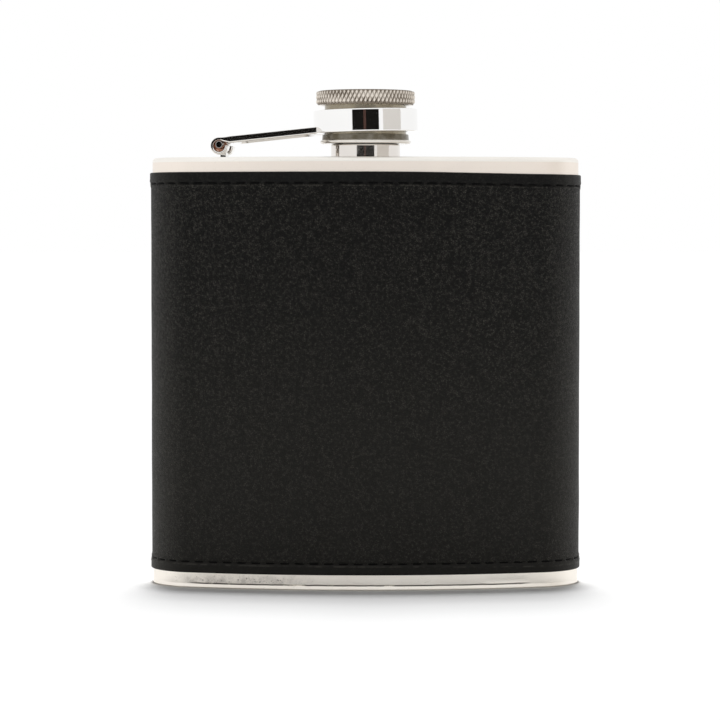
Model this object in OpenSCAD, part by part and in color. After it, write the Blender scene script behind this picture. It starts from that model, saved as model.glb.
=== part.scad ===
// Pocket flask: a curved welded steel body in a stitched wrap, with a captive screw cap on a hinged arm.
// Millimetres, +Z up. The origin is the middle of the footprint, on the base.
// The front is the convex side, towards -Y. The hinge is at the left of the top, towards -X.

/* [Body] */
// Width of the steel body
body_w = 93.2; // [86:0.1:100]
// Height of the steel body, without the neck
body_h = 93; // [85:0.5:105]
// Thickness of the steel body, front to back
body_t = 23.2; // [20:0.1:25]
// Radius of the convex front
front_r = 135; // [120:1:160]
// Thickness of the sheet that the body is rolled from
wall_t = 0.5; // [0.4:0.1:0.8]
// Thickness of the shoulder and base plates
plate_t = 1; // [0.8:0.1:1.4]
// Rounding of the polished outer edges of both plates
edge_r = 0.8; // [0.5:0.1:0.8]

/* [Wrap] */
// Bottom edge of the wrap above the base
wrap_low = 3.5; // [3:0.1:5]
// Top edge of the wrap above the base
wrap_high = 89.6; // [80:0.1:90]
// Thickness of the wrap
wrap_t = 0.35; // [0.3:0.05:0.5]
// Thickness of the wrap where its edge is turned under
hem_t = 0.55; // [0.5:0.05:1]
// Height of a turned hem
hem_h = 2.4; // [1.5:0.1:4]
// Radius of the sewing thread
thread_r = 0.2; // [0.15:0.01:0.25]
// Gap where the two ends of the wrap meet at the back
seam_gap = 0.3; // [0.2:0.1:0.6]
// Distance of each back row of stitches from the seam
seam_row = 2.2; // [1.5:0.1:4]

/* [Neck] */
// Radius of the pouring bore
bore_r = 5.6; // [4.5:0.1:5.8]
// Radius of the plain collar that shows under the cap
collar_r = 7.5; // [7.3:0.1:8]
// Height of the plain collar above the shoulder
collar_h = 2.85; // [2.5:0.05:3]
// Height of the mouth above the shoulder
neck_h = 8.4; // [8:0.1:8.6]
// Radius of the neck below its thread
root_r = 6.5; // [6.4:0.05:6.6]
// Radius over the thread
crest_r = 7; // [6.8:0.05:7]
// Rise of the screw thread in one turn
thread_pitch = 1.2; // [1:0.1:1.2]

/* [Cap] */
// Radius of the knurled head
head_r = 10.75; // [10:0.05:11]
// Height of the knurled head
head_h = 3.2; // [2.5:0.1:4]
// Outer radius of the threaded bush
bush_r = 8.85; // [8.6:0.05:9]
// Height of the bush under the head
bush_h = 8.2; // [8.2:0.1:8.6]
// Radius of the rolled rim that keeps the ring on the cap
rim_r = 9.9; // [9.8:0.05:10.2]
// Thickness of the seal
seal_t = 1.2; // [1:0.1:1.3]

/* [Arm] */
// Distance from the cap's axis to the hinge pin
reach = 31.4; // [30:0.1:34]
// Height of the hinge pin above the shoulder
pin_h = 2.85; // [2.6:0.05:3.2]
// Radius of the hinge pin
pin_r = 0.8; // [0.7:0.05:0.9]
// Width of the strap
strap_w = 10.2; // [8:0.1:11]
// Thickness of the strap
strap_t = 1.5; // [1.2:0.1:1.8]
// Outer radius of the rolled eye
eye_r = 1.87; // [1.8:0.01:1.9]
// Outer radius of the ring around the cap
ring_r = 11.3; // [11:0.05:11.8]
// Bore radius of the ring
ring_bore_r = 9.55; // [9.5:0.01:9.6]
// Height of the ring
ring_h = 4.9; // [4.5:0.1:5]
// How far the loose ring leans towards the hinge, in degrees
ring_lean = 1.3; // [0:0.1:1.5]

/* [Hidden] */
$fn = 96;
tiny = 0.01;

// Plan of the body: two arcs about one centre, closed by a half circle at each end.
end_r = body_t / 2;
mid_r = front_r - end_r;
end_angle = asin((body_w / 2 - end_r) / mid_r);
steel_depth = front_r + end_r - mid_r * cos(end_angle);
centre_y = front_r - steel_depth / 2;
cap_y = centre_y - mid_r;
shell_low = plate_t;
shell_high = body_h - plate_t;

// The arm follows the chord of the curved shoulder, from the cap's axis to the hinge.
arm_turn = asin(reach / (2 * mid_r));

// Neck
flange_w = 1.1;
flange_t = 0.8;
neck_low = shell_high - flange_t;
mouth_z = body_h + neck_h;
lip_r = 0.35;
thread_h = 0.55;
thread_turns = 3;
thread_z = mouth_z - 1.1;
thread_root_h = 0.9;

// Cap
rim_z = body_h + collar_h + 0.1;
bush_low = rim_z + 0.05;
head_z = bush_low + bush_h;
bush_bore_r = crest_r + 0.15;
seal_gap = 0.05;
seal_z = mouth_z + seal_gap;
seal_r = bush_bore_r - 0.1;
spigot_r = 4;
spigot_h = 1.4;
groove_depth = 0.35;
roll_r = 0.4;
skirt_h = 2.05;
skirt_top_r = 9.35;
flare_r = 9.42;
flare_h = 0.85;
head_chamfer = 0.45;
head_step = 0.15;
underside_r = bush_r + 0.6;

// Hinge: the eye hangs on the pin, so its centre is a little lower.
pin_z = body_h + pin_h;
pin_bore_r = 0.55;
eye_drop = 0.3;
eye_bore_r = 1.25;
eye_z = pin_z - eye_drop;
eye_tip_angle = 6;
knuckle_l = 3.4;
knuckle_r = 1.5;
knuckle_gap = 0.2;
notch_reach = 2.35;
foot_t = 1.3;
foot_shift = 0.3;

// Strap and ring
ring_low = rim_z + 2.45;
strap_rise = 6;
strap_end_x = -ring_r + 1.25;
lap = 0.4;
channel_depth = 0.8;
channel_wall = 0.8;

// A closed body of the flask's plan. Its children are half of a cross-section: x is the
// distance from the middle line of the plan, and y is the height.
module along_plan() {
    translate([0, centre_y, 0]) {
        rotate([0, 0, -90 - end_angle])
            rotate_extrude(angle = 2 * end_angle)
                translate([mid_r, 0]) { children(); mirror([1, 0]) children(); }
        for (side = [0, 1]) mirror([side, 0, 0])
            rotate([0, 0, -90 + end_angle]) translate([mid_r, 0, 0])
                rotate_extrude(angle = 180) children();
    }
}

// Half-section of a plate whose outer edge is rounded on its top side.
module plate_section() {
    square([end_r - edge_r, plate_t]);
    square([end_r, plate_t - edge_r]);
    translate([end_r - edge_r, plate_t - edge_r])
        intersection() { circle(edge_r); square(edge_r); }
}

// Frame of the cap's axis, with the arm along -X.
module on_cap_axis() {
    translate([0, cap_y, 0]) rotate([0, 0, -arm_turn]) children();
}

// A shape drawn in the arm's side view (x, z), given a width across the arm.
module across_arm(width) {
    translate([0, width / 2, 0]) rotate([90, 0, 0]) linear_extrude(width) children();
}

// One row of thread beads that follows the plan at a height.
module stitch_row(z) {
    along_plan() translate([end_r + hem_t - thread_r, z]) circle(thread_r);
}

// Two upright rows of thread at the back, beside the seam.
module back_rows() {
    low = wrap_low + hem_h + 1;
    high = wrap_high - hem_h - 1;
    back_r = mid_r - end_r - wrap_t;
    for (side = [-1, 1])
        translate([side * seam_row, centre_y - sqrt(back_r * back_r - seam_row * seam_row), low])
            cylinder(r = thread_r, h = high - low);
}

module body_shell() {
    color("lightgray") along_plan()
        translate([end_r - wall_t, shell_low]) square([wall_t, shell_high - shell_low]);
}

module shoulder_plate() {
    color("gainsboro") difference() {
        translate([0, 0, shell_high]) along_plan() plate_section();
        translate([0, cap_y, shell_high - 1]) cylinder(r = collar_r, h = plate_t + 2);
    }
}

module base_plate() {
    color("gainsboro") translate([0, 0, plate_t]) mirror([0, 0, 1]) along_plan() plate_section();
}

module neck() {
    color("silver") translate([0, cap_y, 0]) rotate_extrude() {
        translate([bore_r, neck_low]) square([collar_r + flange_w - bore_r, flange_t]);
        translate([bore_r, shell_high]) square([collar_r - bore_r, plate_t + collar_h]);
        translate([bore_r, body_h]) square([root_r - bore_r, neck_h - lip_r]);
        translate([bore_r + tiny, mouth_z - lip_r - tiny])
            square([root_r - bore_r - lip_r - tiny, lip_r + tiny]);
        translate([root_r - lip_r, mouth_z - lip_r]) circle(lip_r);
        for (turn = [0:thread_turns - 1])
            translate([root_r - tiny, thread_z - turn * thread_pitch])
                polygon([[0, -thread_root_h / 2], [crest_r - root_r, -thread_h / 4],
                    [crest_r - root_r, thread_h / 4], [0, thread_root_h / 2]]);
    }
}

module leather_wrap() {
    color("#1b1a1a") difference() {
        along_plan() {
            translate([end_r, wrap_low]) square([wrap_t, wrap_high - wrap_low]);
            for (z = [wrap_low, wrap_high - hem_h]) translate([end_r, z]) square([hem_t, hem_h]);
        }
        stitch_row(wrap_low + hem_h);
        stitch_row(wrap_high - hem_h);
        back_rows();
        translate([-seam_gap / 2, 0, wrap_low - 1])
            cube([seam_gap, body_t, wrap_high - wrap_low + 2]);
    }
}

module top_stitching() {
    color("#101010") stitch_row(wrap_high - hem_h);
}

module bottom_stitching() {
    color("#101010") stitch_row(wrap_low + hem_h);
}

module back_stitching() {
    color("#101010") back_rows();
}

module hinge_bracket() {
    color("silver") on_cap_axis() translate([-reach, 0, 0]) difference() {
        across_arm(knuckle_l) {
            translate([0, pin_z]) circle(knuckle_r);
            translate([foot_shift - foot_t / 2, body_h]) square([foot_t, pin_h]);
        }
        translate([0, 0, pin_z]) rotate([90, 0, 0])
            cylinder(r = pin_r, h = knuckle_l + 1, center = true);
    }
}

module hinge_pin() {
    color("dimgray") on_cap_axis() translate([-reach, 0, pin_z]) rotate([90, 0, 0]) difference() {
        cylinder(r = pin_r, h = strap_w, center = true);
        cylinder(r = pin_bore_r, h = strap_w + 1, center = true);
    }
}

// Side view of the rolled eye, open at its tip.
module eye_side() {
    translate([-reach, eye_z]) difference() {
        circle(eye_r);
        circle(eye_bore_r);
        polygon([[0, 0], 2 * eye_r * [cos(eye_tip_angle), sin(eye_tip_angle)], 2 * eye_r * [1, 1],
            [0, 2 * eye_r]]);
    }
}

// Side view of the bar that runs from the top of the eye up to the ring.
module bar_side() {
    top_z = eye_z + eye_r;
    end_z = top_z + (strap_end_x + reach) * tan(strap_rise);
    difference() {
        polygon([[-reach - lap, eye_z + sqrt(eye_r * eye_r - lap * lap)], [-reach, top_z],
            [strap_end_x, end_z], [strap_end_x, end_z - strap_t],
            [-reach + eye_r, top_z + eye_r * tan(strap_rise) - strap_t],
            [-reach + eye_bore_r / 2, eye_z + eye_bore_r / 2], [-reach - lap, eye_z + eye_bore_r / 2]]);
        translate([-reach, eye_z]) circle(eye_bore_r);
    }
}

module arm_strap() {
    color("silver") on_cap_axis() difference() {
        union() {
            across_arm(strap_w) eye_side();
            across_arm(strap_w) bar_side();
        }
        translate([-reach - 2 * eye_r, -knuckle_l / 2 - knuckle_gap, eye_z - 2 * eye_r])
            cube([2 * eye_r + notch_reach, knuckle_l + 2 * knuckle_gap, 4 * eye_r]);
        ring_frame() cylinder(r = ring_r, h = 2 * ring_h, center = true);
        strap_channel();
    }
}

// The strap is pressed from sheet, so its underside is hollow between two edges.
module strap_channel() {
    length = reach - ring_r - notch_reach - 2;
    translate([-ring_r - 1, 0, eye_z + eye_r + (reach - ring_r - 1) * tan(strap_rise) - strap_t])
        rotate([0, -strap_rise, 0]) translate([-length, -strap_w / 2 + channel_wall, -1])
            cube([length, strap_w - 2 * channel_wall, 1 + channel_depth]);
}

// Middle of the ring, leaning towards the hinge.
module ring_frame() {
    translate([0, 0, ring_low + ring_h / 2]) rotate([0, -ring_lean, 0]) children();
}

module cap_ring() {
    color("whitesmoke") on_cap_axis() ring_frame() difference() {
        cylinder(r = ring_r, h = ring_h, center = true);
        cylinder(r = ring_bore_r, h = ring_h + 1, center = true);
    }
}

module cap_head() {
    color("#cfc8ba") translate([0, cap_y, head_z]) rotate_extrude() difference() {
        polygon([[0, 0], [underside_r, 0], [head_r - head_chamfer, head_step], [head_r, head_step + head_chamfer],
            [head_r, head_h - head_chamfer], [head_r - head_chamfer, head_h], [0, head_h]]);
        translate([-1, -1]) square([spigot_r + 1, spigot_h + 1]);
    }
}

module cap_bush() {
    color("silver") translate([0, cap_y, 0]) rotate_extrude() difference() {
        union() {
            translate([0, bush_low]) square([bush_r, bush_h]);
            translate([0, head_z - tiny]) square([spigot_r, spigot_h + tiny]);
        }
        translate([-1, bush_low - 1]) square([bush_bore_r + 1, seal_z + seal_t - bush_low + 1]);
        for (turn = [0:thread_turns - 1])
            translate([bush_bore_r - tiny, thread_z - turn * thread_pitch])
                polygon([[0, -thread_root_h / 2], [groove_depth, -thread_h / 4],
                    [groove_depth, thread_h / 4], [0, thread_root_h / 2]]);
    }
}

module retaining_skirt() {
    color("silver") translate([0, cap_y, rim_z]) rotate_extrude() {
        polygon([[bush_r, roll_r / 4], [rim_r - roll_r, roll_r / 4], [rim_r - roll_r / 2, roll_r],
            [flare_r, flare_h], [skirt_top_r, skirt_h], [bush_r, skirt_h]]);
        translate([rim_r - roll_r, roll_r]) circle(roll_r);
    }
}

module cap_seal() {
    color("#e9e6df") translate([0, cap_y, seal_z]) cylinder(r = seal_r, h = seal_t);
}

body_shell();
shoulder_plate();
base_plate();
neck();
leather_wrap();
top_stitching();
bottom_stitching();
back_stitching();
hinge_bracket();
hinge_pin();
arm_strap();
cap_ring();
cap_head();
cap_bush();
retaining_skirt();
cap_seal();
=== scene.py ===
"""A curved pocket flask: its visible pieces, their finishes, the light and the camera.

Sizes are in millimetres until a piece is made, and metres after that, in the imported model's frame:
+Z up, the convex front towards -Y, and the hinge towards -X.
"""

import logging
import math
from dataclasses import dataclass, field, replace
from enum import Enum

import bmesh
import bpy
import numpy as np
from mathutils import Matrix


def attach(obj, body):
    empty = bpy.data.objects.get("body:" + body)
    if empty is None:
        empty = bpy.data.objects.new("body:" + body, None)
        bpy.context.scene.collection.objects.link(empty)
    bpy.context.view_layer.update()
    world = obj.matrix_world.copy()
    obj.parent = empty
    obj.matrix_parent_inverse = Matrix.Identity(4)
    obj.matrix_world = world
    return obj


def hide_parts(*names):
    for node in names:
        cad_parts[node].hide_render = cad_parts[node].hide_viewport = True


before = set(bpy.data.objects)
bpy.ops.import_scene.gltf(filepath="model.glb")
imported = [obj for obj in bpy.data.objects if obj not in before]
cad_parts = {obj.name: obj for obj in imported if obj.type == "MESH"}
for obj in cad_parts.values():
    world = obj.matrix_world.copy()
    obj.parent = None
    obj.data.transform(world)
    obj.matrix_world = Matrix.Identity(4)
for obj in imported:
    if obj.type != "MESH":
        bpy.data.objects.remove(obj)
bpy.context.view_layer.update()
log = logging.getLogger("flask")

MM = 0.001
TURN = 2 * math.pi
# rise of the neck's and the cap's screw threads in one turn
PITCH = 1.2
# where the cap's axis crosses the plan's middle line, in metres
CAP_Y = -0.002534
Colour = tuple[float, float, float]
Point = tuple[float, float]


class Body(Enum):
    """The moving bodies that a piece can ride on."""

    FLASK = "flask"
    ARM = "arm"
    CAP = "cap"
    SEAL = "seal"


class Slot(Enum):
    """The material slots of the record."""

    SATIN = "satin_steel"
    POLISHED = "polished_steel"
    MIRROR = "mirror_plate"
    KNURLED = "knurled_nickel"
    DARK = "dark_steel"
    LEATHER = "black_leather"
    THREAD = "black_thread"
    SEAL = "white_seal"


class Brush(Enum):
    """Which way the polishing lines of a metal run."""

    ROUND_BODY = "round the body"
    ROUND_CAP = "round the cap's axis"
    ALONG_ARM = "along the arm"


# --------------------------------------------------------------------------- shapes


def smooth(x: np.ndarray, low: float, high: float) -> np.ndarray:
    """A smooth step from 0 at low to 1 at high."""
    t = np.clip((np.asarray(x, float) - low) / (high - low), 0, 1)
    return t * t * (3 - 2 * t)


def bell(x: np.ndarray, width: float) -> np.ndarray:
    """A bell of height 1 around 0."""
    return np.exp(-((np.asarray(x, float) / width) ** 2))


def arc(centre: Point, radius: float, start: float, stop: float, count: int = 6) -> list[Point]:
    """Points on an arc of a profile.

    Args:
        centre: Middle of the arc.
        radius: Its radius.
        start: First angle, in degrees.
        stop: Last angle, in degrees.
        count: Number of points, the two ends included.

    Returns:
        The points in order.
    """
    turns = np.radians(np.linspace(start, stop, count))
    return [(centre[0] + radius * math.cos(a), centre[1] + radius * math.sin(a)) for a in turns]


def supported(profile: list[Point], closed: bool, beside: float = 0.06) -> list[Point]:
    """Adds a point beside each end of the long runs of a profile, so that its corners shade crisply.

    Args:
        profile: The profile.
        closed: Whether its last point joins the first.
        beside: Distance of the added points.

    Returns:
        The profile with the added points.
    """
    points = []
    for here, there in zip(profile, profile[1:] + profile[:1] if closed else profile[1:]):
        points.append(here)
        run = math.dist(here, there)
        if run > 6 * beside:
            for t in (beside / run, 1 - beside / run):
                points.append(tuple(p + (q - p) * t for p, q in zip(here, there)))
    return points if closed else points + [profile[-1]]


@dataclass(frozen=True)
class Ripple:
    """A gentle seeded unevenness of a surface, made of a few crossing waves.

    Attributes:
        seed: Seed of the waves' headings and phases.
        height: How far it stands out.
        longest: The longest wave.
        shortest: The shortest wave.
        waves: Number of waves.
        calm: What the sum of the waves is divided by.
    """

    seed: int
    height: float
    longest: float
    shortest: float
    waves: int = 14
    calm: float = 5

    def __call__(self, along: np.ndarray, up: np.ndarray) -> np.ndarray:
        """The unevenness of a surface.

        Args:
            along: Distances along the surface.
            up: Distances up the surface.

        Returns:
            How far each place stands out.
        """
        random = np.random.default_rng(self.seed)
        total = np.zeros(np.broadcast(along, up).shape)
        for _ in range(self.waves):
            wave = TURN / random.uniform(self.shortest, self.longest)
            heading, phase = random.uniform(0, math.pi), random.uniform(0, TURN)
            total += np.sin(wave * (along * math.cos(heading) + up * math.sin(heading)) + phase)
        return self.height * total / self.calm


@dataclass(frozen=True)
class Plan:
    """The plan of the body: two arcs about one centre, closed by a half circle at each end."""

    width: float = 93.2
    depth: float = 23.2
    front_r: float = 135.0
    steps: int = 560

    @property
    def end_r(self) -> float:
        """Radius of the round ends."""
        return self.depth / 2

    @property
    def mid_r(self) -> float:
        """Radius of the middle line."""
        return self.front_r - self.end_r

    @property
    def end_angle(self) -> float:
        """Half of the angle that the middle line spans."""
        return math.asin((self.width / 2 - self.end_r) / self.mid_r)

    @property
    def centre_y(self) -> float:
        """Where the arcs' common centre is."""
        deep = self.front_r + self.end_r - self.mid_r * math.cos(self.end_angle)
        return self.front_r - deep / 2

    @property
    def cap_y(self) -> float:
        """Where the cap's axis crosses the middle line."""
        return self.centre_y - self.mid_r

    def knots(self, out: float = 0) -> np.ndarray:
        """Distances, from the middle of the back, at which the outline goes from arc to arc.

        Args:
            out: How far outside the steel the outline runs.

        Returns:
            The six distances in order.
        """
        r, a = self.end_r + out, self.end_angle
        back, end, front = (self.mid_r - r) * a, math.pi * r, 2 * (self.mid_r + r) * a
        return np.cumsum([0, back, end, front, end, back])

    def length(self, out: float = 0) -> float:
        """Length of the whole outline at a distance outside the steel."""
        return float(self.knots(out)[-1])

    def place(self, along: np.ndarray, out: np.ndarray, up: np.ndarray) -> np.ndarray:
        """Points given by their place on the wall.

        Args:
            along: Distance from the middle of the back, towards the +X end first.
            out: Distance outside the steel.
            up: Height.

        Returns:
            The points, with x, y and z in the last axis.
        """
        along, out, up = np.broadcast_arrays(along, out, up)
        a, quarter = self.end_angle, math.pi / 2
        knots = self.knots()
        line = np.interp(along, knots, [0, a, a, -a, -a, 0])
        facing = np.interp(along, knots, [quarter, quarter + a, a - quarter, -a - quarter,
                                          -a - 3 * quarter, -3 * quarter])
        reach = self.end_r + out
        return np.stack([self.mid_r * np.sin(line) + reach * np.cos(facing),
                         self.centre_y - self.mid_r * np.cos(line) + reach * np.sin(facing), up], -1)

    def stations(self) -> np.ndarray:
        """Evenly spaced distances round the outline."""
        return np.arange(self.steps) * self.length() / self.steps


@dataclass
class Solid:
    """Gathers points and faces, in millimetres, that make one closed piece."""

    points: list[np.ndarray] = field(default_factory=list)
    faces: list[tuple[int, ...]] = field(default_factory=list)
    openings: list[list[np.ndarray]] = field(default_factory=list)
    count: int = 0

    def skin(self, rows: np.ndarray, round_rows: bool, round_columns: bool, ends: bool = False) -> np.ndarray:
        """Adds a grid of points with a face in every mesh.

        Args:
            rows: Points in an array of rows, columns and x, y, z.
            round_rows: Whether the last row joins the first.
            round_columns: Whether the last column joins the first.
            ends: Whether the first and last rows are closed with a face each.

        Returns:
            The points' numbers, in rows and columns.
        """
        index = self.count + np.arange(rows.shape[0] * rows.shape[1]).reshape(rows.shape[:2])
        self.points.append(rows.reshape(-1, 3))
        self.count += index.size
        right, down = np.roll(index, -1, 1), np.roll(index, -1, 0)
        quads = np.stack([index, right, np.roll(right, -1, 0), down], -1)
        quads = quads[: None if round_rows else -1, : None if round_columns else -1]
        self.faces += [tuple(q) for q in quads.reshape(-1, 4).tolist()]
        if ends:
            self.faces += [tuple(index[0].tolist()), tuple(index[-1].tolist())]
        return index

    def turned(self, profile: list[Point], count: int, centre: Point = (0, 0),
               relief: "Relief | None" = None, closed: bool = False) -> None:
        """Adds a turned shape.

        Args:
            profile: Points of radius and height, from axis to axis or round a closed section.
            count: Number of steps in a full turn.
            centre: Where its axis stands.
            relief: What is cut into its radius, if anything.
            closed: Whether the profile is a closed section.
        """
        r, z = np.array(supported(profile, closed), float).T
        angle = np.arange(count)[:, None] * TURN / count
        radius = r[None] + (relief(angle, r[None], z[None]) if relief else 0)
        radius, z, angle = np.broadcast_arrays(radius, z[None], angle)
        rows = np.stack([centre[0] + radius * np.cos(angle), centre[1] + radius * np.sin(angle), z], -1)
        self.skin(rows, True, closed)

    def slab(self, grid: np.ndarray, kept: np.ndarray) -> None:
        """Adds a sheet with a top and a bottom grid, walled in wherever it ends.

        Args:
            grid: Points of the top and the bottom, in rows, columns and x, y, z.
            kept: For each mesh of the grid, whether the sheet is there.
        """
        top = self.count + np.arange(grid[0, ..., 0].size).reshape(grid.shape[1:3])
        bottom = top + top.size
        self.points += [grid[0].reshape(-1, 3), grid[1].reshape(-1, 3)]
        self.count += 2 * top.size
        there = np.pad(kept, 1)
        for i, j in np.argwhere(kept).tolist():
            corners = [(i, j), (i, j + 1), (i + 1, j + 1), (i + 1, j)]
            beside = (there[i, j + 1], there[i + 1, j + 2], there[i + 2, j + 1], there[i + 1, j])
            self.faces.append(tuple(int(top[c]) for c in corners))
            self.faces.append(tuple(int(bottom[c]) for c in corners[::-1]))
            for a, b, neighbour in zip(corners, corners[1:] + corners[:1], beside):
                if not neighbour:
                    self.faces.append((int(top[b]), int(top[a]), int(bottom[a]), int(bottom[b])))

    def fill(self, *loops: np.ndarray) -> None:
        """Notes a flat opening, with any holes in it, that is filled when the piece is made."""
        self.openings.append(list(loops))

    def mesh(self, name: str, sharp: float) -> bpy.types.Mesh:
        """Makes the mesh in metres.

        Args:
            name: Name of the mesh.
            sharp: Edges sharper than this many degrees stay crisp.

        Returns:
            The mesh, with its faces turned outwards.
        """
        mesh = bpy.data.meshes.new(name)
        mesh.from_pydata((np.concatenate(self.points) * MM).tolist(), [], self.faces)
        bm = bmesh.new()
        bm.from_mesh(mesh)
        bm.verts.ensure_lookup_table()
        for loops in self.openings:
            edges = [bm.edges.get((bm.verts[a], bm.verts[b]))
                     for loop in loops for a, b in zip(loop.tolist(), np.roll(loop, -1).tolist())]
            bmesh.ops.triangle_fill(bm, use_beauty=True, use_dissolve=False, edges=edges)
        bmesh.ops.remove_doubles(bm, verts=bm.verts, dist=1e-7)
        bmesh.ops.dissolve_degenerate(bm, edges=bm.edges, dist=1e-8)
        bmesh.ops.recalc_face_normals(bm, faces=bm.faces)
        bm.to_mesh(mesh)
        bm.free()
        mesh.shade_smooth()
        mesh.set_sharp_from_angle(angle=math.radians(sharp))
        return mesh


class Relief:
    """What is cut into a turned surface."""

    def __call__(self, angle: np.ndarray, radius: np.ndarray, height: np.ndarray) -> np.ndarray:
        """How much a point moves outwards.

        Args:
            angle: Angle round the axis.
            radius: Radius before the cut.
            height: Height of the point.

        Returns:
            The change of radius, for each angle and point of the profile.
        """
        return np.zeros(np.broadcast(angle, radius, height).shape)


@dataclass(frozen=True)
class ScrewThread(Relief):
    """A right-handed screw thread that runs in and out at its ends."""

    low: float
    pitch: float
    turns: float
    depth: float
    at_radius: float
    crest: float = 0.3
    flank: float = 0.22

    def __call__(self, angle: np.ndarray, radius: np.ndarray, height: np.ndarray) -> np.ndarray:
        """How much a point of the thread moves outwards.

        Args:
            angle: Angle round the axis.
            radius: Radius before the cut.
            height: Height of the point.

        Returns:
            The change of radius.
        """
        phase = (height - self.low) / self.pitch - angle / TURN
        turn = np.round(phase)
        off = np.abs(phase - turn) * self.pitch
        tooth = 1 - smooth(off, self.crest / 2, self.crest / 2 + self.flank)
        along = turn + angle / TURN
        run = smooth(along, 0, 0.12) * (1 - smooth(along, self.turns - 0.12, self.turns))
        return self.depth * tooth * run * (np.abs(radius - self.at_radius) < 0.01)


@dataclass(frozen=True)
class Knurl(Relief):
    """Crossed diagonal cuts round a head, one way cut deeper than the other."""

    low: float
    high: float
    starts: int
    lean: float
    depth: float
    rim_r: float
    inner_r: float

    def __call__(self, angle: np.ndarray, radius: np.ndarray, height: np.ndarray) -> np.ndarray:
        """How much a point of the knurl moves outwards.

        Args:
            angle: Angle round the axis.
            radius: Radius before the cut.
            height: Height of the point.

        Returns:
            The change of radius.
        """
        twist = math.tan(math.radians(self.lean)) / (TURN * self.rim_r / self.starts)
        along = self.starts * angle / TURN
        deep, light = (np.abs(2 * ((along + way * twist * height) % 1) - 1) for way in (-1, 1))
        ridge = np.minimum(deep ** 0.8, 0.25 + 0.75 * light)
        random = np.random.default_rng(3)
        worn = 1 + 0.25 * np.sin(along * 0.37 + random.uniform(0, 6)) * np.sin(along * 0.11 + 2 * height)
        return -self.depth * worn * (1 - ridge) * smooth(radius, self.inner_r, self.rim_r - 0.1) * \
            smooth(height, self.low - 0.3, self.low) * (1 - smooth(height, self.high, self.high + 0.3))


# --------------------------------------------------------------------------- finishes


class Value:
    """A number in a shader tree. Sums on it add Math nodes."""

    def __init__(self, shader: "Shader", socket: bpy.types.NodeSocket) -> None:
        """Wraps an output socket of a shader tree."""
        self.shader, self.socket = shader, socket

    def _math(self, operation: str, *terms: "Value | float") -> "Value":
        """A Math node of the terms."""
        node = self.shader.node("ShaderNodeMath", {"operation": operation}, dict(enumerate(terms)))
        return Value(self.shader, node.outputs[0])

    def __add__(self, other: "Value | float") -> "Value":
        """self + other."""
        return self._math("ADD", self, other)

    def __radd__(self, other: float) -> "Value":
        """other + self."""
        return self._math("ADD", other, self)

    def __sub__(self, other: "Value | float") -> "Value":
        """self - other."""
        return self._math("SUBTRACT", self, other)

    def __rsub__(self, other: float) -> "Value":
        """other - self."""
        return self._math("SUBTRACT", other, self)

    def __mul__(self, other: "Value | float") -> "Value":
        """self * other."""
        return self._math("MULTIPLY", self, other)

    def __rmul__(self, other: float) -> "Value":
        """other * self."""
        return self._math("MULTIPLY", other, self)

    def __pow__(self, other: float) -> "Value":
        """self to a power."""
        return self._math("POWER", self, other)

    def __abs__(self) -> "Value":
        """Size of the value."""
        return self._math("ABSOLUTE", self)

    def larger(self, other: "Value | float") -> "Value":
        """The larger of two values."""
        return self._math("MAXIMUM", self, other)

    def angle(self, across: "Value") -> "Value":
        """Angle of the point whose height is self and whose distance across is given."""
        return self._math("ARCTAN2", self, across)

    def step(self, low: float, high: float) -> "Value":
        """A smooth step of the value.

        Args:
            low: Where the step begins, at 0.
            high: Where it ends, at 1.

        Returns:
            The step.
        """
        node = self.shader.node("ShaderNodeMapRange", {"interpolation_type": "SMOOTHSTEP"},
                                {"Value": self, "From Min": low, "From Max": high})
        return Value(self.shader, node.outputs["Result"])


class Tree:
    """A node tree to which nodes are added."""

    def __init__(self, tree: bpy.types.NodeTree) -> None:
        """Starts on a tree."""
        self.tree = tree

    def node(self, kind: str, settings: dict | None = None, inputs: dict | None = None) -> bpy.types.Node:
        """Adds a node.

        Args:
            kind: The node's type.
            settings: Its own settings, set first.
            inputs: Numbers, colours, Values or sockets for its input sockets.

        Returns:
            The node.
        """
        node = self.tree.nodes.new(kind)
        for key, setting in (settings or {}).items():
            setattr(node, key, setting)
        for key, given in (inputs or {}).items():
            self.feed(node.inputs[key], given)
        return node

    def feed(self, socket: bpy.types.NodeSocket,
             given: "Value | bpy.types.NodeSocket | float | Colour") -> None:
        """Links or sets one input socket.

        Args:
            socket: The input socket.
            given: What it gets.
        """
        if isinstance(given, Value):
            given = given.socket
        if isinstance(given, bpy.types.NodeSocket):
            self.tree.links.new(given, socket)
        else:
            socket.default_value = (*given, 1) if socket.type == "RGBA" else given


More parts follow.
